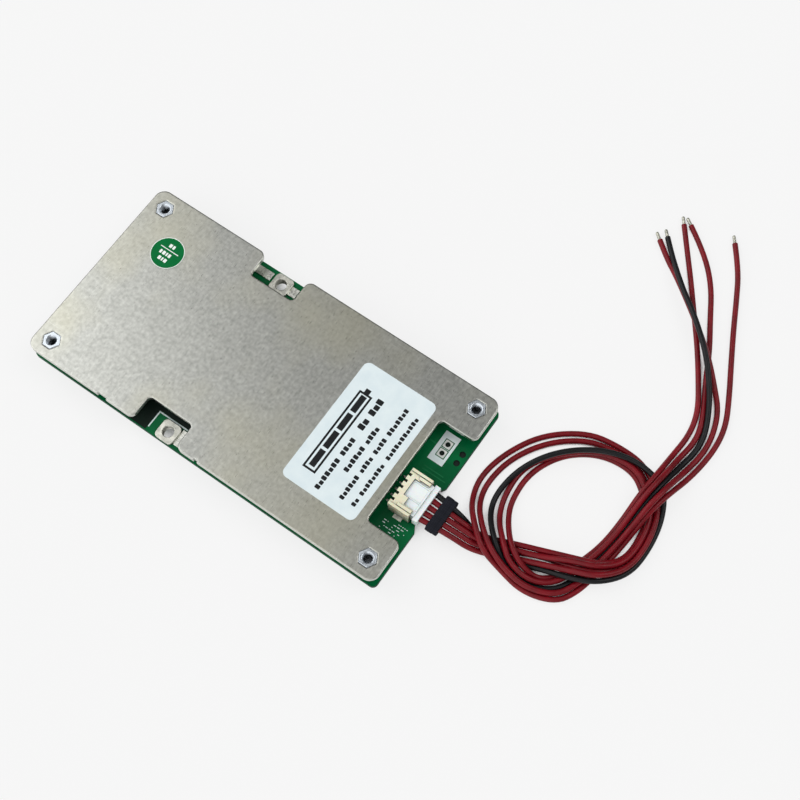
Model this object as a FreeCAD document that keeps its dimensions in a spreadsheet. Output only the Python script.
import FreeCAD, Part
import math
import os
import Sketcher
from FreeCAD import Vector

# A battery management board for a five-circuit pack: a circuit board under an aluminium plate on clinched
# standoffs, with a balance connector on one short edge and its five loose wires.
# Millimetres. X runs along the long side toward the connector, Z is up, and the screw heads stand on z = 0.

doc = FreeCAD.newDocument("board")

sizes = {
    # plate
    "plate_length": 118.0,
    "plate_width": 60.0,
    "plate_thick": 1.5,
    "plate_corner": 3.0,
    "side_notch_start": -21.0,
    "side_notch_length": 15.0,
    "side_notch_depth": 7.7,
    "front_notch_cheek": 13.0,
    "front_notch_depth": 11.15,
    "notch_inner_radius": 1.3,
    "notch_outer_radius": 2.0,
    "long_nick_start": -33.3,
    "long_nick_length": 3.0,
    "short_nick_start": 0.1,
    "short_nick_length": 1.2,
    "nick_depth": 0.55,
    # stack
    "head_high": 2.3,
    "head_wide": 5.5,
    "board_thick": 1.6,
    "air_gap": 4.5,
    "standoff_inset": 5.0,
    "standoff_body": 4.2,
    "standoff_hex": 4.8,
    "thread_core": 2.5,
    "screw_outer": 3.0,
    "screw_length": 4.0,
    "screw_end_gap": 0.3,
    "screw_hole": 3.2,
    "thread_play": 0.04,
    "drive_span": 2.6,
    "drive_slot": 0.6,
    "drive_depth": 1.3,
    "head_round": 0.9,
    # circuit board
    "board_inset": 0.3,
    "board_corner": 1.5,
    "recess_depth": 1.2,
    "recess_start": -9.4,
    "recess_end": 1.5,
    "recess_slope": 2.0,
    "pad_hole": 1.4,
    "pad_hole_inset": 6.65,
    "pad_hole_low": 11.03,
    "pad_hole_high": 13.94,
    "via_hole": 1.8,
    "via_inset": 1.8,
    "via_low": 10.92,
    "via_high": 13.84,
    # stick-on sheets
    "sheet_thick": 0.1,
    "label_inset": 25.6,
    "label_long": 23.6,
    "label_wide": 39.4,
    "label_corner": 1.8,
    "sticker_inset_long": 14.6,
    "sticker_inset_short": 15.7,
    "sticker_wide": 10.0,
    # terminal nuts
    "nut_square": 6.0,
    "nut_round": 1.4,
    "nut_high": 1.0,
    "nut_spigot": 5.0,
    "nut_core": 3.3,
    "nut_mouth": 4.0,
    "nut_play": 0.1,
    "low_nut_x": -12.3,
    "low_nut_inset": 3.4,
    "high_nut_x": -13.7,
    "high_nut_inset": 3.7,
    "solder_high": 0.3,
    # power transistors and their pad
    "mosfet_long": 6.1,
    "mosfet_wide": 6.6,
    "mosfet_high": 2.3,
    "mosfet_pitch": 10.0,
    "mosfet_start": -40.0,
    "mosfet_row": 8.6,
    "tab_wide": 5.2,
    "tab_thick": 0.5,
    "tab_reach": 1.1,
    "lead_wide": 0.8,
    "lead_reach": 2.4,
    "lead_pitch": 4.6,
    "gap_pad_long": 42.0,
    "gap_pad_wide": 31.0,
    "gap_pad_x": -25.0,
    # balance header
    "circuit_pitch": 2.0,
    "middle_circuit": -4.15,
    "header_wide": 11.9,
    "header_inset": 9.5,
    "header_long": 6.7,
    "header_high": 5.5,
    "header_wall": 0.9,
    "header_floor": 1.2,
    "comb_deep": 0.9,
    "comb_slot": 0.8,
    "window_deep": 3.0,
    "pin_thick": 0.5,
    "pin_level": 6.8,
    "foot_reach": 1.9,
    # balance plug
    "plug_depth": 2.1,
    "plug_long": 5.5,
    "tail_long": 1.5,
    "plug_high": 4.1,
    "plug_play": 0.1,
    "flange_wide": 11.4,
    "flange_high": 3.4,
    # wires
    "wire_outer": 1.6,
    "tip_outer": 1.1,
    "tip_long": 2.7,
    "tape_gap": 2.4,
    "tape_long": 3.6,
    "tape_wide": 11.2,
    "tape_high": 2.9,
    "tape_middle": -4.2,
    "tape_round": 1.3,
    # small parts
    "shunt_long": 6.4,
    "shunt_wide": 3.2,
    "shunt_high": 0.6,
    "chip_long": 3.2,
    "chip_wide": 1.6,
    "chip_high": 0.6,
    "controller_long": 9.9,
    "controller_wide": 3.9,
    "controller_high": 1.5,
    "controller_inset": 32.5,
    "controller_y": 2.0,
    "controller_pitch": 1.27,
    "controller_lift": 0.15,
    "small_long": 2.9,
    "small_wide": 1.3,
    "small_high": 1.1,
    "capacitor_long": 2.0,
    "capacitor_wide": 1.25,
    "capacitor_high": 0.9,
}

sheet = doc.addObject("Spreadsheet::Sheet", "sizes")
for row, (name, value) in enumerate(sizes.items(), start=1):
    sheet.set("A%d" % row, name)
    sheet.set("B%d" % row, str(value))
    sheet.setAlias("B%d" % row, name)
doc.recompute()


def size(name):
    """A driving dimension as a number."""
    return float(sheet.get(name))


# places that keep with the plate's ends and sides when its size changes
places = {
    "standoff_x": "({plate_length} / 2 - {standoff_inset})",
    "standoff_y": "({plate_width} / 2 - {standoff_inset})",
    "front_notch_width": "({plate_width} - 2 * {front_notch_cheek})",
    "pad_hole_x": "({plate_length} / 2 - {pad_hole_inset})",
    "via_x": "({plate_length} / 2 - {via_inset})",
    "label_x": "({plate_length} / 2 - {label_inset})",
    "sticker_x": "({sticker_inset_long} - {plate_length} / 2)",
    "sticker_y": "({plate_width} / 2 - {sticker_inset_short})",
    "low_nut_y": "({low_nut_inset} - {plate_width} / 2)",
    "high_nut_y": "({plate_width} / 2 - {high_nut_inset})",
    "header_back": "({plate_length} / 2 - {header_inset})",
    "header_front": "({plate_length} / 2 - {header_inset} + {header_long})",
    "plug_nose": "({plate_length} / 2 - {header_inset} + {plug_depth})",
    "plug_back": "({plate_length} / 2 - {header_inset} + {plug_depth} + {plug_long})",
    "plug_tail": "({plate_length} / 2 - {header_inset} + {plug_depth} + {plug_long} + {tail_long})",
    "controller_x": "({plate_length} / 2 - {header_inset} - {controller_inset})",
}


def link(formula):
    """A formula over the sheet's names and the places, each in the braces of a format string."""
    spelled = formula.format(**{name: "{%s}" % name for name in sizes}, **places)
    return spelled.format(**{name: "sizes." + name for name in sizes})


# heights of the stack, all from the floor up
board_base = "{head_high}"
board_top = "({head_high} + {board_thick})"
plate_base = "({head_high} + {board_thick} + {air_gap})"
plate_top = "({head_high} + {board_thick} + {air_gap} + {plate_thick})"


def bind(thing, prop, formula):
    thing.setExpression(prop, link(formula))


def block(name, corner, span):
    """A box from its low corner and its three sizes, each a formula."""
    box = doc.addObject("Part::Box", name)
    for axis, formula in zip("xyz", corner):
        bind(box, "Placement.Base." + axis, formula)
    for prop, formula in zip(("Length", "Width", "Height"), span):
        bind(box, prop, formula)
    return box


def rod(name, foot, diameter, height):
    """An upright cylinder from the middle of its foot."""
    cylinder = doc.addObject("Part::Cylinder", name)
    for axis, formula in zip("xyz", foot):
        bind(cylinder, "Placement.Base." + axis, formula)
    bind(cylinder, "Radius", "(" + diameter + ") / 2")
    bind(cylinder, "Height", height)
    return cylinder


def joined(name, parts):
    fusion = doc.addObject("Part::MultiFuse", name)
    fusion.Shapes = parts
    return fusion


def cut(name, base, tool):
    result = doc.addObject("Part::Cut", name)
    result.Base = base
    result.Tool = tool
    return result


def plane_of(body, role):
    return [feature for feature in body.Origin.OriginFeatures if feature.Role == role][0]


def sketch_at(body, name, height):
    """A level sketch in the body at a height given as a formula."""
    sketch = body.newObject("Sketcher::SketchObject", name)
    sketch.AttachmentSupport = [(plane_of(body, "XY_Plane"), "")]
    sketch.MapMode = "FlatFace"
    bind(sketch, "AttachmentOffset.Base.z", height)
    return sketch


def fix(sketch, constraint, formula):
    index = sketch.addConstraint(constraint)
    bind(sketch, "Constraints[%d]" % index, formula)


def rectangle(sketch, x, y, long, wide):
    """A rectangle by its low corner and its two sides, each a formula."""
    first = sketch.GeometryCount
    corners = [Vector(0, 0, 0), Vector(1, 0, 0), Vector(1, 1, 0), Vector(0, 1, 0)]
    for start, end in zip(corners, corners[1:] + corners[:1]):
        sketch.addGeometry(Part.LineSegment(start, end), False)
    for side in range(4):
        after = first + (side + 1) % 4
        sketch.addConstraint(Sketcher.Constraint("Coincident", first + side, 2, after, 1))
    sketch.addConstraint(Sketcher.Constraint("Horizontal", first))
    sketch.addConstraint(Sketcher.Constraint("Vertical", first + 1))
    sketch.addConstraint(Sketcher.Constraint("Horizontal", first + 2))
    sketch.addConstraint(Sketcher.Constraint("Vertical", first + 3))
    fix(sketch, Sketcher.Constraint("DistanceX", first, 1, first, 2, 1.0), long)
    fix(sketch, Sketcher.Constraint("DistanceY", first + 1, 1, first + 1, 2, 1.0), wide)
    fix(sketch, Sketcher.Constraint("DistanceX", -1, 1, first, 1, 0.1), x)
    fix(sketch, Sketcher.Constraint("DistanceY", -1, 1, first, 1, 0.1), y)


def polygon(sketch, points):
    """A closed outline through points given as pairs of formulas."""
    first = sketch.GeometryCount
    count = len(points)
    start = [Vector(math.cos(2 * math.pi * k / count), math.sin(2 * math.pi * k / count), 0)
             for k in range(count)]
    for k in range(count):
        sketch.addGeometry(Part.LineSegment(start[k], start[(k + 1) % count]), False)
    for k in range(count):
        sketch.addConstraint(Sketcher.Constraint("Coincident", first + k, 2, first + (k + 1) % count, 1))
    for k, (x, y) in enumerate(points):
        fix(sketch, Sketcher.Constraint("DistanceX", -1, 1, first + k, 1, start[k].x + 0.01), x)
        fix(sketch, Sketcher.Constraint("DistanceY", -1, 1, first + k, 1, start[k].y + 0.01), y)


def circle(sketch, x, y, diameter):
    index = sketch.addGeometry(Part.Circle(Vector(0.1, 0.1, 0), Vector(0, 0, 1), 1.0), False)
    fix(sketch, Sketcher.Constraint("Diameter", index, 2.0), diameter)
    fix(sketch, Sketcher.Constraint("DistanceX", -1, 1, index, 3, 0.1), x)
    fix(sketch, Sketcher.Constraint("DistanceY", -1, 1, index, 3, 0.1), y)


def pad(body, name, sketch, height):
    feature = body.newObject("PartDesign::Pad", name)
    feature.Profile = sketch
    bind(feature, "Length", height)
    return feature


def pocket(body, name, sketch, depth, upward=False):
    """A pocket from its sketch, downward unless it says upward."""
    feature = body.newObject("PartDesign::Pocket", name)
    feature.Profile = sketch
    feature.Reversed = upward
    bind(feature, "Length", depth)
    return feature


def rounded(body, name, base, radius, chosen):
    """A fillet on the base feature's edges that pass the test."""
    doc.recompute()
    edges = ["Edge%d" % (k + 1) for k, edge in enumerate(base.Shape.Edges) if chosen(edge)]
    feature = body.newObject("PartDesign::Fillet", name)
    feature.Base = (base, edges)
    bind(feature, "Radius", radius)
    return feature


def upright(edge):
    low, high = edge.Vertexes[0].Point, edge.Vertexes[-1].Point
    return abs(low.x - high.x) < 1e-6 and abs(low.y - high.y) < 1e-6 and abs(low.z - high.z) > 1e-6


def new_body(name):
    return doc.addObject("PartDesign::Body", name)


# the four corners where the standoffs and their screws stand
corners = [(sx, sy) for sx in (-1, 1) for sy in (-1, 1)]


def corner_x(sx):
    return "%d * {standoff_x}" % sx


def corner_y(sy):
    return "%d * {standoff_y}" % sy


def heatsink_plate():
    """Sheet with two side notches, a notch over the connector and hexagon holes for the standoffs."""
    body = new_body("heatsink_plate")
    outline = sketch_at(body, "plate_outline", plate_base)
    rectangle(outline, "-{plate_length} / 2", "-{plate_width} / 2", "{plate_length}", "{plate_width}")
    sheet_metal = pad(body, "plate_blank", outline, "{plate_thick}")
    blank_round = rounded(body, "plate_corners", sheet_metal, "{plate_corner}", upright)
    openings = sketch_at(body, "plate_notches", plate_top)
    rectangle(openings, "{side_notch_start}", "{plate_width} / 2 - {side_notch_depth}",
              "{side_notch_length}", "{side_notch_depth} + 1")
    rectangle(openings, "{side_notch_start}", "-{plate_width} / 2 - 1",
              "{side_notch_length}", "{side_notch_depth} + 1")
    rectangle(openings, "{plate_length} / 2 - {front_notch_depth}", "-{front_notch_width} / 2",
              "{front_notch_depth} + 1", "{front_notch_width}")
    notched = pocket(body, "plate_notched", openings, "{plate_thick}")
    half_long = size("plate_length") / 2
    half_wide = size("plate_width") / 2
    side_floor = half_wide - size("side_notch_depth")
    front_floor = half_long - size("front_notch_depth")

    def inner(edge):
        point = edge.Vertexes[0].Point
        side = abs(abs(point.y) - side_floor) < 1e-4 and abs(point.x) < half_long - 20
        front = abs(point.x - front_floor) < 1e-4 and abs(point.y) < half_wide - 5
        return upright(edge) and (side or front)

    def outer(edge):
        point = edge.Vertexes[0].Point
        side = abs(abs(point.y) - half_wide) < 1e-4 and abs(point.x) < half_long - 20
        front = abs(point.x - half_long) < 1e-4 and abs(point.y) < half_wide - 5
        return upright(edge) and (side or front)

    soft_inner = rounded(body, "notch_floors", notched, "{notch_inner_radius}", inner)
    soft_outer = rounded(body, "notch_mouths", soft_inner, "{notch_outer_radius}", outer)
    nicks = sketch_at(body, "plate_nicks", plate_top)
    for name in ("long_nick", "short_nick"):
        rectangle(nicks, "{%s_start}" % name, "-{plate_width} / 2 - 1",
                  "{%s_length}" % name, "{nick_depth} + 1")
    pocket(body, "plate_nicked", nicks, "{plate_thick}")
    for sx, sy in corners:
        hole = body.newObject("PartDesign::SubtractivePrism", "standoff_seat")
        hole.AttachmentSupport = [(plane_of(body, "XY_Plane"), "")]
        hole.MapMode = "FlatFace"
        hole.Polygon = 6
        bind(hole, "Circumradius", "{standoff_hex} / sqrt(3)")
        bind(hole, "Height", "{plate_thick}")
        bind(hole, "AttachmentOffset.Base.x", corner_x(sx))
        bind(hole, "AttachmentOffset.Base.y", corner_y(sy))
        bind(hole, "AttachmentOffset.Base.z", plate_base)
        body.Tip = hole


def clinch_standoff(number, sx, sy):
    """Round pillar with a flush hexagon head in the plate and a thread through it."""
    x, y = corner_x(sx), corner_y(sy)
    pillar = rod("pillar_%d" % number, (x, y, board_top), "{standoff_body}", "{air_gap}")
    head = doc.addObject("Part::Prism", "hexagon_%d" % number)
    head.Polygon = 6
    bind(head, "Circumradius", "{standoff_hex} / sqrt(3)")
    bind(head, "Height", "{plate_thick}")
    for axis, formula in zip("xyz", (x, y, plate_base)):
        bind(head, "Placement.Base." + axis, formula)
    # engaged thread at the screw's outer size, free thread above it at core size
    engaged = rod("engaged_%d" % number, (x, y, board_top), "{screw_outer} + {thread_play}",
                  "{screw_length} - {board_thick} + {screw_end_gap}")
    free = rod("free_%d" % number, (x, y, board_top), "{thread_core}", "{air_gap} + {plate_thick}")
    bore = joined("bore_%d" % number, [engaged, free])
    whole = joined("standoff_whole_%d" % number, [pillar, head])
    cut("clinch_standoff_%d" % number, whole, bore)


def board_screw(number, sx, sy):
    """Pan head screw driven up through the board, its head the foot of the assembly."""
    body = new_body("board_screw_%d" % number)
    x, y = corner_x(sx), corner_y(sy)
    head_outline = sketch_at(body, "head_outline", "0")
    circle(head_outline, x, y, "{head_wide}")
    head = pad(body, "head", head_outline, "{head_high}")
    shank_outline = sketch_at(body, "shank_outline", "{head_high}")
    circle(shank_outline, x, y, "{screw_outer}")
    shank = pad(body, "shank", shank_outline, "{screw_length}")

    def rim(edge):
        return abs(edge.BoundBox.ZMax) < 1e-6 and edge.Length > 3.0

    soft = rounded(body, "head_rim", shank, "{head_round}", rim)
    for turn, (long, wide) in enumerate((("{drive_span}", "{drive_slot}"), ("{drive_slot}", "{drive_span}"))):
        slot = sketch_at(body, "drive_%d" % turn, "0")
        rectangle(slot, x + " - " + long + " / 2", y + " - " + wide + " / 2", long, wide)
        pocket(body, "drive_cut_%d" % turn, slot, "{drive_depth}", upward=True)


def circuit_board():
    """Board with a shallow recess in front of the connector and its drilled holes."""
    body = new_body("circuit_board")
    end = "({plate_length} / 2)"
    half = "({plate_width} / 2 - {board_inset})"
    back = "-({plate_length} / 2 - {board_inset})"
    outline = sketch_at(body, "board_outline", board_base)
    polygon(outline, [
        (back, "-" + half),
        (end, "-" + half),
        (end, "{recess_start} - {recess_slope}"),
        (end + " - {recess_depth}", "{recess_start}"),
        (end + " - {recess_depth}", "{recess_end}"),
        (end, "{recess_end} + {recess_slope}"),
        (end, half),
        (back, half),
    ])
    blank = pad(body, "board_blank", outline, "{board_thick}")
    far = size("plate_width") / 2 - 1

    def corner(edge):
        return upright(edge) and abs(edge.Vertexes[0].Point.y) > far

    rounded(body, "board_corners", blank, "{board_corner}", corner)
    holes = sketch_at(body, "board_holes", board_top)
    for sx, sy in corners:
        circle(holes, corner_x(sx), corner_y(sy), "{screw_hole}")
    circle(holes, "{low_nut_x}", "{low_nut_y}", "{nut_spigot} + {nut_play}")
    circle(holes, "{high_nut_x}", "{high_nut_y}", "{nut_spigot} + {nut_play}")
    for name in ("low", "high"):
        circle(holes, "{pad_hole_x}", "{pad_hole_%s}" % name, "{pad_hole}")
        circle(holes, "{via_x}", "{via_%s}" % name, "{via_hole}")
    pocket(body, "board_drilled", holes, "{board_thick}")


def product_label():
    body = new_body("product_label")
    outline = sketch_at(body, "label_outline", plate_top)
    rectangle(outline, "{label_x} - {label_long} / 2", "-{label_wide} / 2", "{label_long}", "{label_wide}")
    film = pad(body, "label_film", outline, "{sheet_thick}")
    rounded(body, "label_corners", film, "{label_corner}", upright)


def terminal_nut(number, x, y):
    """Soldered nut with a square flange on the board and a spigot through it."""
    body = new_body("terminal_nut_%d" % number)
    flange_outline = sketch_at(body, "flange_outline", board_top)
    rectangle(flange_outline, x + " - {nut_square} / 2", y + " - {nut_square} / 2",
              "{nut_square}", "{nut_square}")
    flange = pad(body, "flange", flange_outline, "{nut_high}")
    soft = rounded(body, "flange_corners", flange, "{nut_round}", upright)
    spigot_outline = sketch_at(body, "spigot_outline", board_base)
    circle(spigot_outline, x, y, "{nut_spigot}")
    pad(body, "spigot", spigot_outline, "{board_thick}")
    bore_outline = sketch_at(body, "bore_outline", board_top + " + {nut_high}")
    circle(bore_outline, x, y, "{nut_core}")
    bored = pocket(body, "bore", bore_outline, "{board_thick} + {nut_high}")
    doc.recompute()
    top = size("head_high") + size("board_thick") + size("nut_high")
    mouth = [
        "Edge%d" % (k + 1) for k, edge in enumerate(bored.Shape.Edges)
        if abs(edge.BoundBox.ZMin - top) < 1e-4 and abs(edge.Length - math.pi * size("nut_core")) < 1e-3
    ]
    lead_in = body.newObject("PartDesign::Chamfer", "mouth")
    lead_in.Base = (bored, mouth)
    bind(lead_in, "Size", "({nut_mouth} - {nut_core}) / 2")


def mosfet(number, x, row):
    """Moulded power transistor over its metal tab; returns the metal pieces of the same package."""
    y = "%d * {mosfet_row}" % row
    case = block("case_%d" % number,
                 (x + " - {mosfet_wide} / 2", y + " - {mosfet_long} / 2", board_top),
                 ("{mosfet_wide}", "{mosfet_long}", "{mosfet_high}"))
    reach = "({mosfet_long} / 2 + {tab_reach})"
    tab_low = y + (" - 1" if row > 0 else " - " + reach)
    tab = ((x + " - {tab_wide} / 2", tab_low, board_top), ("{tab_wide}", reach + " + 1", "{tab_thick}"))
    cut("mosfet_%d" % number, case, block("tab_seat_%d" % number, *tab))
    metal = [block("tab_%d" % number, *tab)]
    lead_low = y + (" - {mosfet_long} / 2 - {lead_reach}" if row > 0 else " + {mosfet_long} / 2")
    for side in (-1, 1):
        middle = x + " + %d * {lead_pitch} / 2" % side
        metal.append(block("lead_%d" % number, (middle + " - {lead_wide} / 2", lead_low, board_top),
                           ("{lead_wide}", "{lead_reach}", "{tab_thick}")))
    return metal


def grouped(name, parts):
    """Several like solids kept as one sub-part."""
    group = doc.addObject("Part::Compound", name)
    group.Links = parts
    return group


def power_stage():
    """Two rows of four power transistors and the soft pad that carries their heat to the plate."""
    metal = []
    number = 1
    for row in (-1, 1):
        for column in range(4):
            x = "({mosfet_start} + %d * {mosfet_pitch})" % column
            metal += mosfet(number, x, row)
            number += 1
    grouped("mosfet_metal", metal)
    block("thermal_pad",
          ("{gap_pad_x} - {gap_pad_long} / 2", "-{gap_pad_wide} / 2", board_top + " + {mosfet_high}"),
          ("{gap_pad_long}", "{gap_pad_wide}", "{air_gap} - {mosfet_high}"))


def circuit_y(place):
    return "({middle_circuit} + %d * {circuit_pitch})" % place


def balance_header():
    """Side-entry shrouded housing with a comb back and a window over the plug."""
    low = "({middle_circuit} - {header_wide} / 2)"
    shell = block("header_shell", ("{header_back}", low, board_top),
                  ("{header_front} - {header_back}", "{header_wide}", "{header_high}"))
    cavity = block("header_cavity",
                   ("{plug_nose} - {plug_play}", low + " + {header_wall}",
                    board_top + " + {header_floor} - 0.5"),
                   ("{header_front} - {plug_nose} + {plug_play} + 1", "{header_wide} - 2 * {header_wall}",
                    "{plug_high} + 2 * {plug_play}"))
    window = block("header_window",
                   ("{header_front} - {window_deep}", low + " + 2.2", board_top + " + 3"),
                   ("{window_deep} + 1", "{header_wide} - 4.1", "{header_high}"))
    step = block("header_step",
                 ("{plug_nose}", low + " + 4.4", board_top + " + 3"),
                 ("{header_front} - {plug_nose} + 1", "{header_wide} - 6.6", "{header_high}"))
    slots = [
        block("comb_%d" % k,
              ("{header_back} - 1", circuit_y(k) + " - {comb_slot} / 2", board_top + " - 1"),
              ("{comb_deep} + 1", "{comb_slot}", "{header_high} + 2"))
        for k in range(-2, 3)
    ]
    bores = [
        block("pin_seat_%d" % k,
              ("{header_back} - 1", circuit_y(k) + " - {pin_thick} / 2", "{pin_level} - {pin_thick} / 2"),
              ("4", "{pin_thick}", "{pin_thick}"))
        for k in range(-2, 3)
    ]
    hollow = joined("header_hollow", [cavity, window, step] + slots + bores)
    cut("balance_header_housing", shell, hollow)


def header_pins():
    """Five square pins, each bent down to a foot soldered to the board."""
    pins = []
    for k in range(-2, 3):
        y = circuit_y(k) + " - {pin_thick} / 2"
        shaft = block("shaft", ("{header_back} - {pin_thick}", y, "{pin_level} - {pin_thick} / 2"),
                      ("{plug_nose} - {header_back} + {pin_thick} + 2", "{pin_thick}", "{pin_thick}"))
        drop = block("drop", ("{header_back} - {pin_thick}", y, board_top),
                     ("{pin_thick}", "{pin_thick}", "{pin_level} + {pin_thick} / 2 - " + board_top))
        foot = block("foot", ("{header_back} - {foot_reach}", y, board_top),
                     ("{foot_reach}", "{pin_thick}", "{pin_thick} / 2"))
        pins.append(joined("pin", [shaft, drop, foot]))
    grouped("header_pins", pins)
    anchors = []
    for side, edge in ((-1, "({middle_circuit} - {header_wide} / 2 - 1.1)"),
                       (1, "({middle_circuit} + {header_wide} / 2)")):
        anchors.append(block("anchor", ("{header_back} + 2.2", edge, board_top), ("2.6", "1.1", "0.3")))
    grouped("header_anchors", anchors)


def balance_plug():
    """Crimp housing seated in the header, with a wider tail where the wires enter."""
    clear = "{header_wall} + {plug_play}"
    low = "({middle_circuit} - {header_wide} / 2 + " + clear + ")"
    floor = board_top + " + {header_floor} - 0.5 + {plug_play}"
    nose = block("plug_nose_block", ("{plug_nose}", low, floor),
                 ("{plug_back} - {plug_nose}", "{header_wide} - 2 * (" + clear + ")", "{plug_high}"))
    tail = block("plug_tail_block",
                 ("{plug_back}", "{middle_circuit} - {flange_wide} / 2", "{pin_level} - {flange_high} / 2"),
                 ("{plug_tail} - {plug_back}", "{flange_wide}", "{flange_high}"))
    sockets = [
        block("socket_%d" % k,
              ("{plug_nose} - 1", circuit_y(k) + " - {pin_thick} / 2", "{pin_level} - {pin_thick} / 2"),
              ("3.4", "{pin_thick}", "{pin_thick}"))
        for k in range(-2, 3)
    ]
    solid = joined("plug_solid", [nose, tail])
    cut("balance_plug_housing", solid, joined("plug_sockets", sockets))


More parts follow.
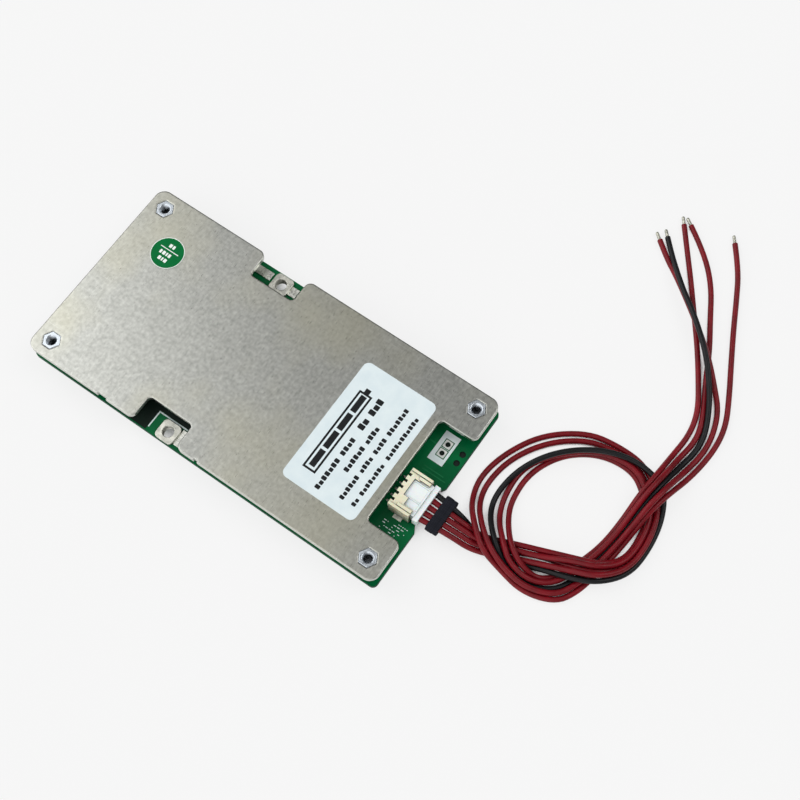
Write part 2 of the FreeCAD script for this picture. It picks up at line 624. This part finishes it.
# each wire's middle line from the plug's tail to its stripped end, chosen point by point
wire_routes = {
    "wire_black": [
        (58.6, -0.15, 6.8), (65.8, -0.15, 6.8), (71.6, -1.6, 1.6), (78.8, -4.6, 0.8), (86.8, -1.6, 0.8),
        (93.0, 0.4, 2.0), (98.9, 1.7, 3.6), (106.1, 4.9, 4.4), (111.3, 12.2, 1.6), (111.9, 21.4, 0.8),
        (110.5, 30.1, 1.0), (106.6, 37.1, 2.8), (98.6, 39.6, 2.8), (90.2, 39.0, 2.6), (82.9, 35.9, 1.8),
        (76.1, 29.8, 0.8), (71.1, 21.0, 0.8), (69.7, 11.4, 0.9), (71.9, 5.0, 1.6), (77.1, -1.2, 6.5),
        (82.0, -4.3, 3.8), (87.2, -5.2, 0.8), (92.0, -5.3, 0.8), (97.6, -2.4, 0.8), (100.6, 3.4, 0.8),
        (102.0, 10.0, 0.8), (103.2, 16.4, 0.8), (104.0, 22.6, 1.2), (104.6, 29.8, 5.0), (105.6, 37.4, 5.0),
        (106.9, 45.6, 0.8), (108.2, 54.0, 0.8), (106.4, 62.5, 0.8), (101.8, 70.2, 2.6), (95.0, 77.6, 3.0),
        (87.6, 84.4, 3.4), (81.4, 90.4, 4.0), (74.6, 97.2, 2.1), (68.0, 103.4, 1.0),
    ],
    "wire_red_1": [
        (58.6, -2.15, 6.8), (66.6, -2.15, 6.8), (74.4, -1.7, 3.1), (81.8, 1.2, 3.2), (89.6, 4.2, 3.0),
        (96.8, 6.8, 3.6), (103.2, 8.9, 4.6), (107.9, 13.8, 1.8), (108.5, 21.4, 0.8), (106.8, 28.6, 0.8),
        (102.7, 33.1, 0.8), (97.6, 36.8, 0.8), (90.0, 36.4, 0.8), (84.5, 32.8, 0.8), (79.0, 27.8, 0.8),
        (75.2, 20.0, 0.8), (74.1, 11.2, 0.8), (76.3, 6.2, 1.6), (81.8, -0.2, 6.0), (86.8, -2.6, 3.8),
        (91.8, -2.7, 0.8), (95.8, 0.4, 0.8), (99.4, 8.8, 0.8), (101.3, 15.6, 0.8), (102.0, 23.6, 1.2),
        (102.2, 31.0, 4.9), (103.0, 38.6, 5.2), (103.4, 46.5, 0.8), (104.2, 54.5, 0.8), (102.6, 62.0, 0.8),
        (97.4, 70.8, 0.8), (92.4, 78.6, 0.8), (86.6, 86.6, 0.8), (80.6, 95.0, 0.8), (74.4, 103.2, 0.8),
        (69.7, 109.5, 0.8),
    ],
    "wire_red_2": [
        (58.6, -4.15, 6.8), (66.6, -4.15, 6.8), (74.6, -3.4, 4.0), (82.3, -0.5, 3.7), (90.1, 2.5, 3.2),
        (97.3, 5.7, 4.9), (103.9, 7.9, 5.9), (108.7, 13.4, 3.3), (109.3, 21.4, 2.25), (107.6, 28.9, 2.25),
        (103.3, 33.7, 2.25), (97.9, 37.6, 2.25), (90.0, 37.2, 2.25), (83.7, 34.4, 1.9), (77.6, 28.8, 0.8),
        (73.2, 20.6, 0.8), (72.0, 11.4, 0.8), (74.6, 4.8, 1.6), (80.0, -0.9, 6.4), (84.0, -4.0, 4.4),
        (90.9, -4.6, 2.3), (96.8, -1.0, 1.4), (100.6, 8.3, 2.1), (102.3, 15.9, 2.25), (103.0, 23.0, 2.9),
        (103.4, 30.4, 6.4), (104.5, 38.0, 6.3), (105.2, 46.2, 0.8), (106.6, 54.6, 0.8), (104.4, 61.8, 0.8),
        (99.8, 70.6, 0.8), (96.0, 79.2, 0.8), (91.4, 87.4, 0.8), (86.2, 97.0, 0.8), (79.0, 105.0, 0.8),
        (71.5, 110.4, 0.8),
    ],
    "wire_red_3": [
        (58.6, -6.15, 6.8), (66.5, -6.15, 6.8), (74.2, -5.1, 3.3), (81.6, -0.9, 1.6), (89.8, 3.2, 1.2),
        (97.7, 4.4, 3.4), (104.6, 6.9, 4.6), (109.6, 13.0, 1.6), (110.2, 21.4, 0.8), (108.4, 29.2, 0.8),
        (103.9, 34.3, 0.8), (98.2, 38.6, 0.8), (90.2, 39.2, 0.8), (82.0, 37.5, 0.8), (73.7, 30.9, 0.8),
        (68.0, 21.9, 0.8), (65.9, 12.0, 0.8), (67.6, 5.4, 1.6), (72.8, -0.3, 6.6), (78.0, -4.1, 6.4),
        (84.2, -6.0, 4.0), (90.9, -6.6, 2.3), (98.5, -3.7, 1.65), (101.6, 2.1, 1.9), (102.9, 8.3, 2.1),
        (104.2, 15.7, 2.25), (105.0, 22.2, 3.0), (105.8, 29.2, 6.8), (107.2, 36.8, 6.0), (108.7, 45.0, 0.8),
        (110.0, 54.2, 0.8), (108.6, 62.4, 0.8), (103.4, 70.4, 1.4), (97.1, 78.2, 3.2), (89.3, 85.9, 3.2),
        (81.2, 91.0, 1.9), (73.2, 96.0, 0.8), (66.5, 101.7, 0.8),
    ],
    "wire_red_4": [
        (58.6, -8.15, 6.8), (66.5, -8.15, 6.8), (74.0, -6.8, 2.4), (81.8, -2.9, 2.55), (89.6, 0.4, 2.5),
        (98.4, 3.3, 4.8), (105.3, 5.9, 6.0), (110.3, 12.6, 3.1), (111.0, 21.4, 2.25), (109.2, 29.5, 2.25),
        (105.2, 35.5, 1.5), (98.8, 40.3, 0.8), (90.4, 40.9, 0.8), (81.2, 39.5, 0.8), (71.4, 31.9, 0.8),
        (65.5, 22.4, 0.8), (62.9, 12.4, 0.8), (64.9, 5.4, 1.4), (70.4, -0.6, 7.4), (76.2, -5.4, 6.3),
        (82.8, -6.4, 2.4), (90.8, -7.7, 0.8), (99.4, -5.0, 0.8), (102.6, 0.6, 0.8), (104.1, 7.6, 0.8),
        (105.3, 15.0, 0.8), (106.0, 21.6, 1.2), (106.8, 28.6, 5.2), (108.5, 36.0, 4.4), (110.6, 44.0, 0.8),
        (112.0, 53.6, 0.8), (111.2, 62.0, 0.8), (107.4, 70.4, 0.8), (102.8, 79.4, 0.8), (98.2, 88.6, 0.8),
        (94.0, 97.6, 0.8), (90.0, 105.6, 0.8), (84.9, 112.4, 0.8),
    ],
}


def tube(points, outer):
    """A round tube along straight runs joined by tangent arcs."""
    edges = []
    start = points[0]
    radii = []
    for before, here, after in zip(points, points[1:], points[2:]):
        inward = here - before
        onward = after - here
        reach = 0.45 * min(inward.Length, onward.Length)
        half_turn = inward.getAngle(onward) / 2
        radii.append(reach / math.tan(half_turn))
        inward.normalize()
        onward.normalize()
        first = here - inward * reach
        last = here + onward * reach
        toward = onward - inward
        toward.normalize()
        centre = here + toward * (radii[-1] / math.cos(half_turn))
        middle = centre - toward * radii[-1]
        edges.append(Part.LineSegment(start, first).toShape())
        edges.append(Part.Arc(first, middle, last).toShape())
        start = last
    edges.append(Part.LineSegment(start, points[-1]).toShape())
    line = Part.Wire(edges)
    ring = Part.Wire([Part.Circle(points[0], points[1] - points[0], outer / 2).toShape()])
    shape = line.makePipeShell([ring], True, False)
    expected = math.pi * outer * outer / 4 * line.Length
    print("tube length %.1f, least radius %.1f, volume ratio %.4f"
          % (line.Length, min(radii), shape.Volume / expected))
    return shape


def tail_end():
    """How far along X the plug's tail ends, as a number."""
    return (size("plate_length") / 2 - size("header_inset") + size("plug_depth")
            + size("plug_long") + size("tail_long"))


def wires():
    """Five insulated wires and the tinned strands that show at their ends."""
    # the routes keep with the plug's tail when the plate or the connector changes size
    laid_from = Vector(wire_routes["wire_black"][0][0], 0, 0)
    moved = Vector(tail_end(), 0, 0) - laid_from
    shapes = []
    for name, route in wire_routes.items():
        points = [Vector(*point) + moved for point in route]
        wire = doc.addObject("Part::Feature", name)
        wire.Shape = tube(points, size("wire_outer"))
        shapes.append(wire.Shape)
        tip = doc.addObject("Part::Cylinder", name.replace("wire", "tip"))
        bind(tip, "Radius", "{tip_outer} / 2")
        bind(tip, "Height", "{tip_long}")
        turn = FreeCAD.Rotation(Vector(0, 0, 1), points[-1] - points[-2])
        tip.Placement = FreeCAD.Placement(points[-1], turn)
    return shapes


def harness_tape(shapes):
    """Tape wound round the five wires beside the plug, formed on the wires themselves."""
    band = Part.makeBox(size("tape_long"), size("tape_wide"), size("tape_high"),
                        Vector(tail_end() + size("tape_gap"), size("tape_middle") - size("tape_wide") / 2,
                               size("pin_level") - size("tape_high") / 2))
    along = [edge for edge in band.Edges if abs(edge.BoundBox.XLength - size("tape_long")) < 1e-6]
    band = band.makeFillet(size("tape_round"), along)
    for shape in shapes:
        band = band.cut(shape)
    feature = doc.addObject("Part::Feature", "harness_tape")
    feature.Shape = band.Solids[0] if len(band.Solids) == 1 else band


def small_parts():
    """Current-sense resistors, controller, balancing parts and capacitors between board and plate."""
    for number, y in ((1, "({low_nut_y} + 7.6)"), (2, "({low_nut_y} + 12)")):
        block("shunt_resistor_%d" % number, ("-1", y + " - {shunt_wide} / 2", board_top),
              ("{shunt_long}", "{shunt_wide}", "{shunt_high}"))
    block("controller",
          ("{controller_x} - {controller_long} / 2", "{controller_y} - {controller_wide} / 2",
           board_top + " + {controller_lift}"),
          ("{controller_long}", "{controller_wide}", "{controller_high}"))
    leads = []
    for side in (-1, 1):
        for place in range(8):
            x = "{controller_x} + %.1f * {controller_pitch} - 0.2" % (place - 3.5)
            edge = "{controller_y} %s {controller_wide} / 2" % ("+" if side > 0 else "-")
            foot_y = edge if side > 0 else edge + " - 1.05"
            leg_y = edge if side > 0 else edge + " - 0.25"
            foot = block("foot", (x, foot_y, board_top), ("0.4", "1.05", "0.2"))
            leg = block("leg", (x, leg_y, board_top),
                        ("0.4", "0.25", "{controller_lift} + {controller_high} / 2"))
            leads.append(joined("lead", [foot, leg]))
    grouped("controller_leads", leads)
    for number in range(4):
        y = "(-7.5 + %d * 5)" % number
        block("balance_resistor_%d" % (number + 1),
              ("{header_back} - 13.5", y + " - {chip_wide} / 2", board_top),
              ("{chip_long}", "{chip_wide}", "{chip_high}"))
    grouped("balance_transistors", [
        block("transistor",
              ("{header_back} - 19.5", "(-7.5 + %d * 5) - {small_wide} / 2" % number, board_top),
              ("{small_long}", "{small_wide}", "{small_high}"))
        for number in range(4)
    ])
    grouped("chip_capacitors", [
        block("capacitor", ("{controller_x} + (%d)" % x, "{controller_y} + (%d)" % y, board_top),
              ("{capacitor_long}", "{capacitor_wide}", "{capacitor_high}"))
        for x, y in ((-9, -8), (-9, 6), (8, -14), (8, 10), (-1, -10), (-1, 7), (-8, 13), (25, 12))
    ])


def solder_runs():
    """Solder-flooded copper beside the two terminal nuts."""
    block("solder_run_1", ("{high_nut_x} - 12.3", "{high_nut_y} - 0.6", board_top),
          ("8.4", "2.6", "{solder_high}"))
    block("solder_run_2", ("{high_nut_x} + {nut_square} / 2", "{high_nut_y} - 1.2", board_top),
          ("2.4", "2.9", "{solder_high}"))
    block("solder_run_3", ("{low_nut_x} + {nut_square} / 2", "{low_nut_y} - 2", board_top),
          ("2.4", "4.9", "{solder_high}"))


heatsink_plate()
for number, (sx, sy) in enumerate(corners, start=1):
    clinch_standoff(number, sx, sy)
    board_screw(number, sx, sy)
circuit_board()
product_label()
rod("inspection_sticker", ("{sticker_x}", "{sticker_y}", plate_top), "{sticker_wide}", "{sheet_thick}")
terminal_nut(1, "{low_nut_x}", "{low_nut_y}")
terminal_nut(2, "{high_nut_x}", "{high_nut_y}")
solder_runs()
power_stage()
balance_header()
header_pins()
balance_plug()
harness_tape(wires())
small_parts()
doc.recompute()

# the sub-parts handed over: every top-level thing that no other thing uses
nodes = [
    thing for thing in doc.Objects
    if thing.isDerivedFrom("Part::Feature") and not thing.isDerivedFrom("Sketcher::SketchObject")
    and not [user for user in thing.InList if user.isDerivedFrom("Part::Feature")]
]
for thing in doc.Objects:
    if "Invalid" in thing.State or "Error" in thing.State:
        raise SystemExit("not built: " + thing.Name)
for node in nodes:
    if node.Shape.isNull() or not node.Shape.isValid():
        raise SystemExit("bad shape: " + node.Name)
os.makedirs("parts", exist_ok=True)
for node in nodes:
    node.Label = node.Name
    node.Shape.exportStep("parts/%s.step" % node.Name)
print(len(nodes), "sub-parts")
for node in nodes:
    box = node.Shape.BoundBox
    print("%-24s solids %d  x %.2f %.2f  y %.2f %.2f  z %.2f %.2f"
          % (node.Name, len(node.Shape.Solids), box.XMin, box.XMax, box.YMin, box.YMax, box.ZMin, box.ZMax))
